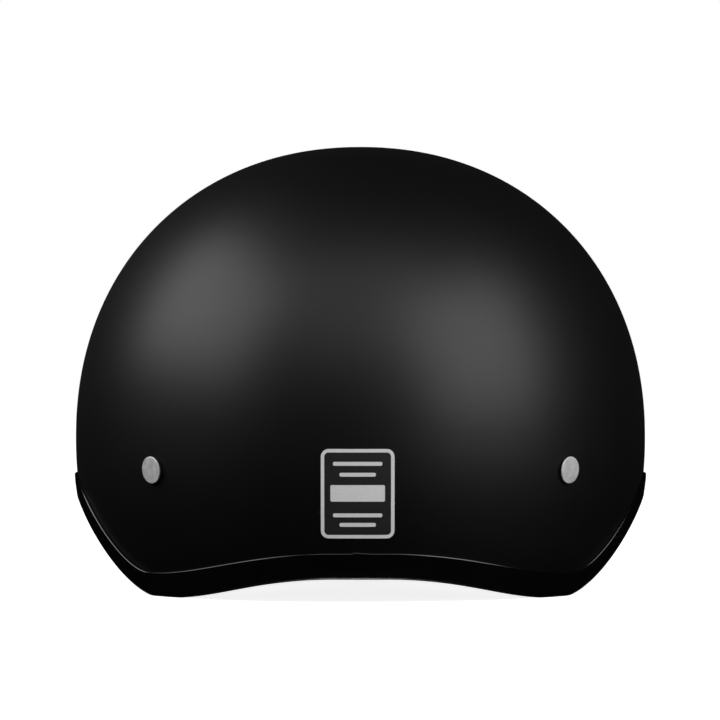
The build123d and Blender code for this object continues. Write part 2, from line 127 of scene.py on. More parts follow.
def grid_mesh(name, points, round_rows=False, round_columns=False, marks=None, sharp=40):
    """Mesh over one grid, rows by columns, or a stack of grids; rows or columns may close into a ring.

    marks holds the UV of every grid corner, with one more row or column where the grid closes.
    """
    points = points.reshape((-1,) + points.shape[-3:])
    numbers = np.arange(points[..., 0].size).reshape(points.shape[:3])
    if round_rows:
        numbers = np.concatenate([numbers, numbers[:, :1]], 1)
    if round_columns:
        numbers = np.concatenate([numbers, numbers[:, :, :1]], 2)

    def corners(grid):
        return np.stack([grid[:, :-1, :-1], grid[:, 1:, :-1], grid[:, 1:, 1:], grid[:, :-1, 1:]], 3)

    mesh = bpy.data.meshes.new(name)
    mesh.from_pydata(points.reshape(-1, 3).tolist(), [], corners(numbers).reshape(-1, 4).tolist())
    if marks is not None:
        marks = marks.reshape((-1,) + marks.shape[-3:])
        mesh.uv_layers.new(name="UVMap").uv.foreach_set("vector", corners(marks).astype(np.float32).ravel())
    build = bmesh.new()
    build.from_mesh(mesh)
    bmesh.ops.remove_doubles(build, verts=build.verts, dist=1e-7)
    bmesh.ops.dissolve_degenerate(build, edges=build.edges, dist=1e-8)
    open_edges = [edge for edge in build.edges if edge.is_boundary]
    if open_edges:
        bmesh.ops.holes_fill(build, edges=open_edges)
    bmesh.ops.recalc_face_normals(build, faces=build.faces)
    build.to_mesh(mesh)
    build.free()
    mesh.polygons.foreach_set("use_smooth", np.ones(len(mesh.polygons), bool))
    mesh.set_sharp_from_angle(angle=math.radians(sharp))
    piece = bpy.data.objects.new(name, mesh)
    bpy.context.scene.collection.objects.link(piece)
    return piece


def fit(piece, finish, bodies, nodes=(), bend=None):
    """Give a piece its finish, hide the nodes it stands for, and attach it to its body; given a bend, it is
    only baked where it stands.
    """
    piece.data.materials.clear()
    piece.data.materials.append(finish)
    if bend:
        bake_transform(piece)
    else:
        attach(piece, bodies)
    if nodes:
        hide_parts(*nodes)
    return piece


def new_finish(name, **sockets):
    """Material with one Principled shader, whose constant values go straight on its sockets."""
    finish = bpy.data.materials.new(name)
    finish.use_nodes = True
    shader = finish.node_tree.nodes["Principled BSDF"]
    for socket, value in sockets.items():
        shader.inputs[socket.replace("_", " ")].default_value = value
    return finish, finish.node_tree, shader


def node(tree, kind, inputs=None, **settings):
    """Add a shader node, set its properties, and set or link its inputs by name or number."""
    made = tree.nodes.new("ShaderNode" + kind)
    for name, value in settings.items():
        setattr(made, name, value)
    for name, value in (inputs or {}).items():
        if isinstance(value, bpy.types.NodeSocket):
            tree.links.new(value, made.inputs[name])
        else:
            made.inputs[name].default_value = value
    return made


def place(tree):
    """Object coordinates, in metres of the frame."""
    return node(tree, "TexCoord").outputs["Object"]


def noise(tree, scale, detail=3.0, vector=None):
    """Noise with so many waves a metre."""
    inputs = {"Vector": vector or place(tree), "Scale": scale, "Detail": detail}
    return node(tree, "TexNoise", inputs).outputs["Fac"]


def cell_noise(tree, scale, output="Distance", feature="F1"):
    """Cells, so many a metre: the distance from each cell's middle, or its colour."""
    inputs = {"Vector": place(tree), "Scale": scale}
    return node(tree, "TexVoronoi", inputs, feature=feature).outputs[output]


def uv_spot(tree):
    """The mesh's own UV."""
    return node(tree, "UVMap", uv_map="UVMap").outputs["UV"]


def spread(tree, value, low, high, first=0.0, last=1.0):
    """Stretch a value from first..last to low..high."""
    inputs = {"Value": value, "From Min": first, "From Max": last, "To Min": low, "To Max": high}
    return node(tree, "MapRange", inputs).outputs["Result"]


def tint(tree, value, dark, light, first=0.3, last=0.7):
    """Colour between dark and light as the value goes from first to last."""
    ramp = node(tree, "ValToRGB", {"Fac": value})
    ramp.color_ramp.elements[0].position = first
    ramp.color_ramp.elements[0].color = (*dark, 1)
    ramp.color_ramp.elements[1].position = last
    ramp.color_ramp.elements[1].color = (*light, 1)
    return ramp.outputs["Color"]


def math_node(tree, operation, *values):
    """Arithmetic on sockets and numbers."""
    return node(tree, "Math", dict(enumerate(values)), operation=operation).outputs[0]


def bump(tree, shader, height, distance, strength=1.0, first=None):
    """Raise the surface by a height of so many metres."""
    inputs = {"Height": height, "Distance": distance, "Strength": strength}
    if first:
        inputs["Normal"] = first
    made = node(tree, "Bump", inputs).outputs["Normal"]
    tree.links.new(made, shader.inputs["Normal"])
    return made


def paint(tree, shader, colour, roughness):
    """Link a finish's colour and roughness."""
    tree.links.new(colour, shader.inputs["Base Color"])
    tree.links.new(roughness, shader.inputs["Roughness"])


shell_finish, tree, shader = new_finish("matte_black_plastic", Specular_IOR_Level=0.5)
skin = noise(tree, 1500, 2)
cloudy = noise(tree, 22, 2)
specks = cell_noise(tree, 75)
dust = math_node(tree, "LESS_THAN", specks, 0.022)
shell_colour = tint(tree, cloudy, (0.0008, 0.0008, 0.0009), (0.0014, 0.0014, 0.0015))
dusted = node(tree, "MixRGB", {"Fac": dust, "Color1": shell_colour, "Color2": (0.03, 0.03, 0.03, 1)})
paint(tree, shader, dusted.outputs["Color"], spread(tree, skin, 0.40, 0.48))
bump(tree, shader, skin, 0.02 * mm, 0.6)


def dome_grid(inset, bottom, columns, turns):
    """Grid on one dome, from the crown down to the heights in bottom, evenly in the profile's own angle."""
    rise = shell_height - inset - widest_level
    low = (bottom - widest_level) / rise
    foot = np.arcsin(np.sign(low) * np.abs(low) ** (profile_power / 2))
    turn = np.pi / 2 + (foot - np.pi / 2)[:, None] * np.linspace(0, 1, columns) ** 0.8
    z = widest_level + rise * np.sign(turn) * np.abs(np.sin(turn)) ** (2 / profile_power)
    return wall_points(turns[:, None], z, inset)


turns = np.arange(shell_turns) * 360 / shell_turns
shell_foot = rim_height(turns) + shell_edge_lift * rim_stretch(turns)
outer_face = dome_grid(0.0, shell_foot, shell_columns, turns)
inner_face = dome_grid(shell_wall, shell_foot, shell_columns, turns)
outer_shell = grid_mesh("shell_moulding", both_faces(outer_face, inner_face), round_rows=True)
fit(outer_shell, shell_finish, "helmet", ["outer_shell"])

# Edge trim
# A soft black vinyl U channel pushed on the shell's edge all round, butted behind the label. Its outer lip
# is the taller one and has a rounded top corner, and it is flat where the helmet stands on it.
lip = 1 * mm
web = 1.6 * mm
side_clearance = 0.25 * mm
outer_lip_height = 10.4 * mm
inner_lip_height = 6 * mm
trim_corner = 1.2 * mm
lip_lean = 0.1 * mm
lean_length = 4 * mm
tip_radius = 0.7 * mm
tip_inner_radius = 0.2 * mm
seam_angle = 1.5
seam_gap = 0.1 * mm
lifted_lip = 0.45 * mm
lifted_reach = 5 * mm
trim_turns = 900


def arc(centre_x, centre_y, radius, start, end, steps=7):
    """Points of an arc in degrees, as columns x and y."""
    turn = np.radians(np.linspace(start, end, steps))
    return np.stack([centre_x + radius * np.cos(turn), centre_y + radius * np.sin(turn)], 1)


groove_in = shell_wall + side_clearance
outside = -side_clearance - lip
inside = groove_in + lip
leaning = np.linspace(0, 1, 7)[:-1]
lean_start = outer_lip_height - tip_radius - lean_length
trim_profile = np.concatenate([
    arc(outside + trim_corner, trim_corner, trim_corner, 270, 180),
    np.stack([outside + lip_lean * leaning**2, lean_start + lean_length * leaning], 1),
    arc(outside + lip_lean + tip_radius, outer_lip_height - tip_radius, tip_radius, 177, 90, 12),
    arc(-side_clearance - tip_inner_radius, outer_lip_height - tip_inner_radius, tip_inner_radius, 90, 0, 5),
    np.array([[-side_clearance, web], [groove_in, web]]),
    arc(groove_in + lip / 2, inner_lip_height - lip / 2, lip / 2, 180, 0, 9),
    arc(inside - trim_corner, trim_corner, trim_corner, 0, -90),
])
half_gap = math.degrees(seam_gap / 2 / rear_reach)
trim_angles = seam_angle + np.linspace(half_gap, 360 - half_gap, trim_turns)
from_right_end = np.radians(trim_angles[-1] - trim_angles) * rear_reach
lifted = lifted_lip * np.exp(-((from_right_end / lifted_reach) ** 2))
profile_height = trim_profile[None, :, 1] + lifted[:, None] * (trim_profile[None, :, 1] > web)
trim_z = rim_height(trim_angles)[:, None] + profile_height * rim_stretch(trim_angles)[:, None]
trim_points = wall_points(trim_angles[:, None], trim_z, trim_profile[None, :, 0])
trim_points[..., 2] = np.maximum(trim_points[..., 2], 0)

trim_finish, tree, shader = new_finish("black_vinyl", Specular_IOR_Level=1.0)
grain = noise(tree, 900, 3)
trim_colour = tint(tree, noise(tree, 30), (0.0008, 0.0008, 0.0008), (0.0016, 0.0016, 0.0016))
paint(tree, shader, trim_colour, spread(tree, grain, 0.12, 0.18))
bump(tree, shader, grain, 0.02 * mm, 0.5)
edge_trim = grid_mesh("edge_trim_channel", trim_points, round_columns=True, sharp=50)
fit(edge_trim, trim_finish, "helmet", ["edge_trim"])

# Rear label
# A thin printed vinyl sticker with rounded corners, pale border and dark field, laid on the back of the
# shell. Its field carries plain bars only: height of the middle, width and height of each, in millimetres.
label_width = 28.4 * mm
label_height = 34.6 * mm
label_corner = 3 * mm
label_border = 1.35 * mm
label_x = 1.1 * mm
label_z = 42.8 * mm
label_thickness = 0.3 * mm
label_seat = 0.05 * mm
label_bars = ((11.6, 19, 1.5), (7.4, 14, 1.5), (0.2, 21, 6.4), (-8.3, 19, 1.5), (-12, 14, 1.5))
bar_corner = 0.6 * mm
print_blur = 0.05 * mm


def rounded_outline(width, height, corner, steps=8):
    """Points round a rectangle with round corners, centred on zero, about a millimetre apart on its sides."""
    x, y = width / 2 - corner, height / 2 - corner
    corners = np.concatenate([arc(x, y, corner, 0, 90, steps), arc(-x, y, corner, 90, 180, steps),
                              arc(-x, -y, corner, 180, 270, steps), arc(x, -y, corner, 270, 360, steps)])
    sides = []
    for first, last in zip(corners, np.roll(corners, -1, 0)):
        count = max(1, round(np.linalg.norm(last - first) / mm))
        sides.append(first + (last - first) * (np.arange(count) / count)[:, None])
    return np.concatenate(sides)


def on_back(x, z, inset):
    """Points of the dome right behind flat places x, z, found from the level ellipse at that height."""
    share = profile_share(z, inset)
    width, reach = (half_width - inset) * share, (rear_reach - inset) * share
    return np.stack([x, axis_y + reach * np.sqrt(1 - (x / width) ** 2), z], -1)


edge = rounded_outline(label_width, label_height, label_corner)
shares = np.linspace(0, 1, 9)[None, :, None]
flat_front = edge[:, None] * shares
flat = both_faces(flat_front, flat_front)
depth = np.concatenate([np.full(9, -label_seat - label_thickness), np.full(9, -label_seat)])[None]
label_points = on_back(label_x + flat[..., 0], label_z + flat[..., 1], np.broadcast_to(depth, flat.shape[:2]))
label_marks = np.concatenate([flat, flat[:1]])
label = grid_mesh("rear_sticker", label_points, round_rows=True, marks=label_marks)


def inside_rectangle(tree, spot, centre, width, height, corner):
    """One inside a rounded rectangle and zero outside it, by its signed distance."""
    moved = node(tree, "VectorMath", {0: spot, 1: (centre[0], centre[1], 0)}, operation="SUBTRACT")
    folded = node(tree, "VectorMath", {0: moved.outputs[0]}, operation="ABSOLUTE")
    reach = (width / 2 - corner, height / 2 - corner, 0)
    out = node(tree, "VectorMath", {0: folded.outputs[0], 1: reach}, operation="SUBTRACT")
    out = node(tree, "VectorMath", {0: out.outputs[0], 1: (0, 0, 0)}, operation="MAXIMUM")
    length = node(tree, "VectorMath", {0: out.outputs[0]}, operation="LENGTH").outputs["Value"]
    return spread(tree, length, 1, 0, corner - print_blur, corner + print_blur)


label_finish, tree, shader = new_finish("printed_vinyl", Roughness=0.45, Specular_IOR_Level=0.5)
spot = uv_spot(tree)
field = inside_rectangle(tree, spot, (0, 0), label_width - 2 * label_border, label_height - 2 * label_border,
                         label_corner - label_border)
bars = 0.0
for bar_z, bar_width, bar_height in label_bars:
    bar = inside_rectangle(tree, spot, (0, bar_z * mm), bar_width * mm, bar_height * mm, bar_corner)
    bars = math_node(tree, "MAXIMUM", bars, bar)
ink = noise(tree, 2500, 2)
pale = tint(tree, ink, (0.56, 0.57, 0.57), (0.66, 0.66, 0.66))
dark = tint(tree, ink, (0.012, 0.012, 0.013), (0.018, 0.018, 0.019))
printed = node(tree, "MixRGB", {"Fac": bars, "Color1": dark, "Color2": pale}).outputs["Color"]
whole = node(tree, "MixRGB", {"Fac": field, "Color1": pale, "Color2": printed}).outputs["Color"]
tree.links.new(whole, shader.inputs["Base Color"])
bump(tree, shader, ink, 0.01 * mm, 0.3)
fit(label, label_finish, "helmet", ["rear_label"])

# Strap rivets and washers
# Four aluminium rivets with flat round heads, one for each strap end. They pass through the shell and the
# webbing and are set over a washer inside. The setting tool scratched their faces. Their skirts are painted
# near black, a painted shade.
rivet_spots = {"rear": (43.5, 51.1 * mm), "front": (133.0, 60 * mm)}
head_radius = 5.3 * mm
head_thickness = 1.4 * mm
head_round = 0.35 * mm
head_crown = 0.12 * mm
head_shoulder = 0.4 * mm
head_chamfer = 0.1 * mm
shank_radius = 2 * mm
tail_radius = 3.2 * mm
tail_thickness = 1 * mm
tail_depth = 6.15 * mm
rivet_seat = 0.05 * mm


def wall_frame(angle, z, inset=0.0):
    """Point of the dome with its level, rising and outward directions."""
    step_round, step_up = 5, 10 * mm
    origin = wall_points(angle, z, inset)
    level = unit(wall_points(angle + step_round, z, inset) - wall_points(angle - step_round, z, inset))
    rise = wall_points(angle, z + step_up, inset) - wall_points(angle, z - step_up, inset)
    out = unit(np.cross(rise, level))
    return origin, level, np.cross(out, level), out


def revolved(profile, spot, axis_x, axis_y_direction, axis_z, steps=64):
    """Surface of a profile of radius and height turned about axis_z at a spot."""
    turn = np.linspace(0, 2 * np.pi, steps, endpoint=False)[:, None]
    radius, height = profile[None, :, 0], profile[None, :, 1]
    sideways = np.cos(turn)[..., None] * axis_x + np.sin(turn)[..., None] * axis_y_direction
    return spot + radius[..., None] * sideways + height[..., None] * axis_z


rivet_finish, tree, shader = new_finish("worn_satin_aluminium_painted_skirt_shade", Metallic=0.6)
brushed = node(tree, "Mapping", {"Vector": place(tree), "Scale": (60, 60, 900), "Rotation": (0.5, 0.3, 0.2)})
scratches = noise(tree, 1.0, 6, brushed.outputs["Vector"])
worn = noise(tree, 350, 4)
bright = tint(tree, worn, (0.62, 0.62, 0.62), (0.86, 0.86, 0.85))
head_height = node(tree, "SeparateXYZ", {"Vector": uv_spot(tree)}).outputs["Y"]
# Below the face, the head's skirt is painted near black (0.02). This is painted shade where the side wall
# looks dark.
face_above_painted_skirt_shade = spread(tree, head_height, 0, 1, head_thickness - 0.5 * mm, head_thickness - 0.15 * mm)
rivet_colour_with_painted_skirt_shade = node(tree, "MixRGB", {"Fac": face_above_painted_skirt_shade, "Color1": (0.02, 0.02, 0.02, 1), "Color2": bright})
paint(tree, shader, rivet_colour_with_painted_skirt_shade.outputs["Color"], spread(tree, scratches, 0.42, 0.62))
bump(tree, shader, scratches, 0.03 * mm, 0.5)

head_profile = np.concatenate([
    [[0, head_thickness + head_crown], [head_radius * 0.5, head_thickness + head_crown * 0.75]],
    [[head_radius - head_round - head_shoulder, head_thickness + head_crown / 12]],
    arc(head_radius - head_round, head_thickness - head_round, head_round, 90, 0, 6),
    [[head_radius, head_chamfer], [head_radius - head_chamfer, 0], [shank_radius, 0]],
    [[shank_radius, -tail_depth], [tail_radius, -tail_depth]],
    [[tail_radius, -tail_depth - tail_thickness], [0, -tail_depth - tail_thickness]],
])
for end, (angle, z) in rivet_spots.items():
    for side, sign in hands:
        origin, level, rise, out = wall_frame(angle, z)
        points = revolved(head_profile, origin + out * rivet_seat, level, rise, out) * (sign, 1, 1)
        turned = np.linspace(0, 1, len(points) + 1)[:, None]
        marks = np.stack(np.broadcast_arrays(turned, head_profile[None, :, 1]), -1)
        rivet = grid_mesh(f"strap_rivet_{end}_{side}", points, round_rows=True, marks=marks, sharp=35)
        fit(rivet, rivet_finish, "helmet", [f"rivet_{end}_{side}"])

zinc_finish, tree, shader = new_finish("zinc_plate", Metallic=1.0)
zinc_colour = tint(tree, noise(tree, 500), (0.40, 0.40, 0.38), (0.60, 0.60, 0.58))
paint(tree, shader, zinc_colour, spread(tree, noise(tree, 900), 0.35, 0.5))
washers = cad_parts["rivet_washers"]
washers.data.materials.clear()
washers.data.materials.append(zinc_finish)

# Impact liner
# A thick black bead foam moulding that lines the whole shell. Its open inner wall and lower face show the
# beads, and its outer face has a shallow pocket for each strap end.
liner_inset = 3.3 * mm
liner_recess = 10.5 * mm
liner_edge_round = 1.5 * mm
pocket_half = 10.3 * mm
pocket_inset = 6.45 * mm
pocket_rise = 12.3 * mm
pocket_behind = 60 * mm
liner_columns = 60
liner_foot = rim_height(turns) + liner_recess * rim_stretch(turns)
liner_outer = dome_grid(liner_inset, liner_foot + liner_edge_round, liner_columns, turns)
outer_inset = np.full(liner_outer.shape[:2], liner_inset)
for angle, z in rivet_spots.values():
    origin, level, rise, out = wall_frame(angle, z)
    for sign in (1, -1):
        away = liner_outer - origin * (sign, 1, 1)
        in_strip = np.abs(away @ (level * (sign, 1, 1))) < pocket_half
        near = (away @ (out * (sign, 1, 1)) > -pocket_behind) & (liner_outer[..., 2] < z + pocket_rise)
        outer_inset[in_strip & near] = pocket_inset
liner_outer = wall_points(turns[:, None], liner_outer[..., 2], outer_inset)
cavity_top = dome_grid(cavity_inset, np.full(shell_turns, widest_level), liner_columns, turns)
lower_steps = np.linspace(0, 1, 14)
cavity_z = widest_level + (liner_foot[:, None] + liner_edge_round - widest_level) * lower_steps
cavity_low = wall_points(turns[:, None], cavity_z, cavity_inset)
edge_turn = np.radians(np.linspace(0, 90, 5))[1:]
edge_in = liner_edge_round * (1 - np.cos(edge_turn))
edge_z = liner_foot[:, None] + liner_edge_round * (1 - np.sin(edge_turn))
outer_edge = wall_points(turns[:, None], edge_z, outer_inset[:, -1:] + edge_in)
inner_edge = wall_points(turns[:, None], edge_z[:, ::-1], cavity_inset - edge_in[::-1])
cavity = np.concatenate([cavity_low[:, ::-1], cavity_top[:, -2::-1]], 1)
liner_points = np.concatenate([liner_outer, outer_edge, inner_edge, cavity], 1)

foam_finish, tree, shader = new_finish("black_bead_foam", Specular_IOR_Level=0.4)
beads = cell_noise(tree, 330, feature="SMOOTH_F1")
bead_shade = node(tree, "SeparateColor", {"Color": cell_noise(tree, 330, "Color")}).outputs["Red"]
foam_colour = tint(tree, bead_shade, (0.013, 0.013, 0.014), (0.030, 0.030, 0.031), 0.0, 1.0)
paint(tree, shader, foam_colour, spread(tree, beads, 0.55, 0.8))
bump(tree, shader, math_node(tree, "MULTIPLY", beads, -1.0), 0.35 * mm, 0.7)
liner = grid_mesh("foam_liner", liner_points, round_rows=True)
fit(liner, foam_finish, "helmet", ["impact_liner"])

# Comfort pads
# Five removable pads of soft foam in black brushed knit, held on the liner by hook tape. Each is a crowned
# cushion with sewn channels and a bound edge, thickest towards the head.
pad_inset = 26.6 * mm
pad_depth = 8 * mm
pad_height = 46 * mm
pad_foot_rise = 18.5 * mm
pad_corner_power = 5.0
start_share = 0.86
least_depth = 0.3 * mm
pad_seat = 0.2 * mm
side_thinning = 0.12
side_narrowing = 0.16
channel_share = 0.34
channel_width = 1.6 * mm
voxel = 2.2 * mm
pressure = 4.0
swell_frames = 20
swell_cap = 1.3 * mm
held_depth = 1.2 * mm
binding_radius = 1.1 * mm
pad_rows = 256
pad_columns = 44
pads = {
    "brow_pad": (180.0, 34.0, 0.0, (-0.5, 0.0, 0.5)),
    "nape_pad": (0.0, 32.0, 0.0, (-0.5, 0.0, 0.5)),
    "side_pad_left": (94.0, 30.0, -6 * mm, (-0.36, 0.36)),
    "side_pad_right": (266.0, 30.0, -6 * mm, (-0.36, 0.36)),
}

knit_finish, tree, shader = new_finish("brushed_knit", Sheen_Weight=0.35, Sheen_Roughness=0.5,
                                       Specular_IOR_Level=0.25)
loops = cell_noise(tree, 900)
fuzz = noise(tree, 2600, 4)
knit_colour = tint(tree, fuzz, (0.012, 0.012, 0.013), (0.035, 0.035, 0.037))
paint(tree, shader, knit_colour, spread(tree, fuzz, 0.8, 0.95))
knit_bump = bump(tree, shader, loops, 0.25 * mm, 0.6)
bump(tree, shader, fuzz, 0.1 * mm, 0.5, knit_bump)

binding_finish, tree, shader = new_finish("binding_tape", Sheen_Weight=0.2, Specular_IOR_Level=0.3)
ribs = node(tree, "TexWave", {"Vector": place(tree), "Scale": 900.0, "Distortion": 1.5}).outputs["Fac"]
tape_colour = tint(tree, ribs, (0.008, 0.008, 0.008), (0.022, 0.022, 0.023), 0.1, 0.9)
paint(tree, shader, tape_colour, spread(tree, noise(tree, 1500), 0.65, 0.85))
bump(tree, shader, ribs, 0.12 * mm, 0.6)


def superellipse(turn, power):
    """Unit outline between a circle and a square: direction over the power mean of its parts."""
    direction = np.stack([np.cos(turn), np.sin(turn)], -1)
    return direction / (np.abs(direction) ** power).sum(-1, keepdims=True) ** (1 / power)


def tube(centre, radius, steps=10):
    """Round tube along a closed line of points."""
    along = unit(np.roll(centre, -1, 0) - np.roll(centre, 1, 0))
    side = unit(np.cross(along, centre - centre.mean(0)))
    other = np.cross(along, side)
    turn = np.linspace(0, 2 * np.pi, steps, endpoint=False)[None, :, None]
    return centre[:, None] + radius * (np.cos(turn) * side[:, None] + np.sin(turn) * other[:, None])


def read_points(mesh):
    """Vertex places as an array."""
    places = np.empty(len(mesh.vertices) * 3, np.float32)
    mesh.vertices.foreach_get("co", places)
    return places.reshape(-1, 3).astype(float)


def write_points(mesh, points):
    """Put the vertices at these places."""
    mesh.vertices.foreach_set("co", points.astype(np.float32).ravel())
    mesh.update()


def settle(piece):
    """Replace a piece's mesh by what its modifiers make of it."""
    made = bpy.data.meshes.new_from_object(piece.evaluated_get(bpy.context.evaluated_depsgraph_get()))
    piece.modifiers.clear()
    piece.data = made


def plump(piece, seat_depth):
    """Swell a cushion under inner pressure.

    Points nearer to its seat than held_depth stay, and none moves further than swell_cap.
    """
    remesh = piece.modifiers.new("voxels", "REMESH")
    remesh.mode = "VOXEL"
    remesh.voxel_size = voxel
    settle(piece)
    start = read_points(piece.data)
    held = piece.vertex_groups.new(name="held")
    held.add(np.flatnonzero(seat_depth(start)[1] < held_depth).tolist(), 1.0, "REPLACE")
    cloth = piece.modifiers.new("cloth", "CLOTH")
    cloth.settings.use_pressure = True
    cloth.settings.uniform_pressure_force = pressure
    cloth.settings.vertex_group_mass = held.name
    cloth.settings.effector_weights.gravity = 0
    cloth.point_cache.frame_end = swell_frames
    for step in range(1, swell_frames + 1):
        bpy.context.scene.frame_set(step)
    moved = read_points(piece.evaluated_get(bpy.context.evaluated_depsgraph_get()).data) - start
    piece.modifiers.clear()
    bpy.context.scene.frame_set(1)
    far = np.linalg.norm(moved, axis=1, keepdims=True)
    write_points(piece.data, start + moved * np.minimum(1, swell_cap / np.maximum(far, 1e-9)))
    piece.modifiers.new("rounding", "SUBSURF").levels = 1
    settle(piece)
    piece.data.polygons.foreach_set("use_smooth", np.ones(len(piece.data.polygons), bool))


def sew(piece, seat_depth, groove):
    """Draw the sewn channels in: each point moves towards its seat by a share of its depth."""
    points = read_points(piece.data)
    seat = seat_depth(points)[0]
    write_points(piece.data, points + (seat - points) * channel_share * groove(points)[:, None])


def round_angle(points):
    """Angle round the helmet of each point, the inverse of wall_points."""
    reach = np.where(points[:, 1] > axis_y, rear_reach, front_reach)
    return np.degrees(np.arctan2(points[:, 0] / half_width, (points[:, 1] - axis_y) / reach))


def wall_seat(points):
    """Nearest place on the liner's wall at each point's height, and the depth in from it."""
    seat = wall_points(round_angle(points), points[:, 2], pad_inset)
    return seat, np.linalg.norm((seat - points)[:, :2], axis=1)


outline_turn = np.linspace(0, 2 * np.pi, pad_rows, endpoint=False)
outline = superellipse(outline_turn, pad_corner_power)
for name, (middle, half, shift, channels) in pads.items():
    centre_z = rim_height(middle) + pad_foot_rise + pad_height / 2 + shift
    share = np.sin(np.linspace(0, np.pi / 2, pad_columns))
    front = outline[:, None] * share[None, :, None]
    crown = pad_depth * start_share * (1 - share**3) ** 0.5
    swell = 1 - side_thinning * np.abs(front[..., 0]) ** 2
    height_taper = 1 - side_narrowing * np.abs(front[..., 0]) ** 3
    inward = np.clip(crown[None] * swell, least_depth, None)
    inward[:, -1] = binding_radius
    angle = middle + half * front[..., 0]
    z = centre_z + pad_height / 2 * front[..., 1] * height_taper
    face = wall_points(angle, z, pad_inset + inward)
    back = wall_points(angle, z, np.full(z.shape, pad_inset + pad_seat))
    pad = grid_mesh(f"{name}_cushion", both_faces(face, back), round_rows=True)

    def wall_groove(points):
        """One in the middle of each upright channel, falling off as a bell curve."""
        turned = (round_angle(points) - middle + 180) % 360 - 180
        girth = np.radians(half) * (half_width - pad_inset)
        return sum(np.exp(-(((turned / half - line) * girth / channel_width) ** 2)) for line in channels)

    plump(pad, wall_seat)
    sew(pad, wall_seat, wall_groove)
    fit(pad, knit_finish, "helmet", [name])
    rim_line = wall_points(angle[:, -1], z[:, -1], pad_inset + binding_radius + 0.1 * mm)
    rim_tube = tube(rim_line, binding_radius)
    binding = grid_mesh(f"{name}_binding", rim_tube, round_rows=True, round_columns=True)
    fit(binding, binding_finish, "helmet")

crown_radius = 56 * mm
crown_depth = 9 * mm
crown_ring = 0.45
crown_turn = np.linspace(0, 2 * np.pi, 192, endpoint=False)
share = np.sin(np.linspace(0, np.pi / 2, 48))
flat_x = crown_radius * share * np.cos(crown_turn)[:, None]
flat_y = crown_radius * share * np.sin(crown_turn)[:, None]


def crown_roof(flat_x, flat_y):
    """Height of the liner's roof over flat places, before they are stretched lengthwise."""
    level_share = np.hypot(flat_x, flat_y) / (half_width - pad_inset)
    rise = shell_height - pad_inset - widest_level
    return widest_level + rise * (1 - level_share**profile_power) ** (1 / profile_power)


def lengthwise(y):
    """How far the dome is stretched lengthwise on this side of its axis."""
    return (np.where(y > 0, rear_reach, front_reach) - pad_inset) / (half_width - pad_inset)


def crown_flat(points):
    """Places of the crown pad's points before the stretch."""
    away = points[:, 1] - axis_y
    return points[:, 0], away / lengthwise(away)


def crown_seat(points):
    """Place on the liner's roof straight above each point, and the depth below it."""
    roof = crown_roof(*crown_flat(points))
    return np.stack([points[:, 0], points[:, 1], roof], 1), roof - points[:, 2]


def crown_groove(points):
    """One along a ring and along six spokes outside it, falling off as a bell curve."""
    x, y = crown_flat(points)
    out, turn = np.hypot(x, y), np.arctan2(y, x)
    ring = np.exp(-(((out - crown_ring * crown_radius) / channel_width) ** 2))
    spoke = np.exp(-((np.sin(3 * turn) / 3 * out / channel_width) ** 2)) * (out > crown_ring * crown_radius)
    return np.maximum(ring, spoke)


roof = crown_roof(flat_x, flat_y)
sag = np.clip(crown_depth * start_share * (1 - share**4) ** 0.5, least_depth, None) * np.ones_like(roof)
sag[:, -1] = binding_radius
crown_y = axis_y + flat_y * lengthwise(flat_y)
crown_face = np.stack([flat_x, crown_y, roof - sag], -1)
crown_back = np.stack([flat_x, crown_y, roof - pad_seat], -1)
crown = grid_mesh("crown_pad_cushion", both_faces(crown_face, crown_back), round_rows=True)
plump(crown, crown_seat)
sew(crown, crown_seat, crown_groove)
fit(crown, knit_finish, "helmet", ["crown_pad"])
crown_tube = tube(crown_face[:, -1], binding_radius)
crown_binding = grid_mesh("crown_pad_binding", crown_tube, round_rows=True, round_columns=True)
fit(crown_binding, binding_finish, "helmet")

# Yoke webbing
# Two legs of flat nylon webbing on each side, riveted inside the shell. They step in past the trim, turn over
# the rim to a hinge line and meet at a square sewn tip near the middle.
hinge_x = 60 * mm
hinge_z = 6.9 * mm
tip_x = 8 * mm
tip_z = 3.8 * mm
tip_v = -5 * mm
webbing_width = 20 * mm
webbing_thickness = 1.6 * mm
upper_inset = shell_wall + 0.3 * mm
lower_inset = inside + 0.3 * mm
joggle_height = 9 * mm
joggle_reach = 4 * mm
tab_rise = 12 * mm
drop_rise = 8.5 * mm
hinge_bend = 7 * mm
turn_drop = 2.5 * mm
turn_reach = 9 * mm
strip_step = 1.5 * mm
tip_box_half = 7.2 * mm
slope = math.asin((hinge_z - tip_z) / math.hypot(hinge_x - tip_x, hinge_z - tip_z))
tip_u = (hinge_x - tip_x) / math.cos(slope)


def strap_points(u, v, w, sign=1):
    """Strap plane to frame: u from the hinge line to the tip, v across to the brow, w above the plane."""
    u, v, w = np.broadcast_arrays(np.asarray(u, float), v, w)
    x = hinge_x - u * math.cos(slope) - w * math.sin(slope)
    z = hinge_z - u * math.sin(slope) + w * math.cos(slope)
    return np.stack([x * sign, -v, z], -1)


def to_strap(point):
    """Frame to strap plane, on the left side."""
    away_x, away_z = hinge_x - point[0], hinge_z - point[2]
    return away_x * math.cos(slope) + away_z * math.sin(slope), -point[1]


def webbing_section(width, thickness):
    """Flat strip with round edges: places across and through it, and the length round it."""
    half, radius = width / 2 - thickness / 2, thickness / 2
    across = np.array([-1, -0.96, -0.5, 0, 0.5, 0.96, 1]) * half
    top = np.stack([across[::-1], np.full(7, radius)], 1)
    bottom = np.stack([across, np.full(7, -radius)], 1)
    section = np.concatenate([top, arc(-half, 0, radius, 90, 270, 7)[1:-1], bottom,
                              arc(half, 0, radius, -90, 90, 7)[1:-1]])
    steps = np.linalg.norm(np.roll(section, -1, 0) - section, axis=1)
    return section, np.concatenate([[0], np.cumsum(steps)])


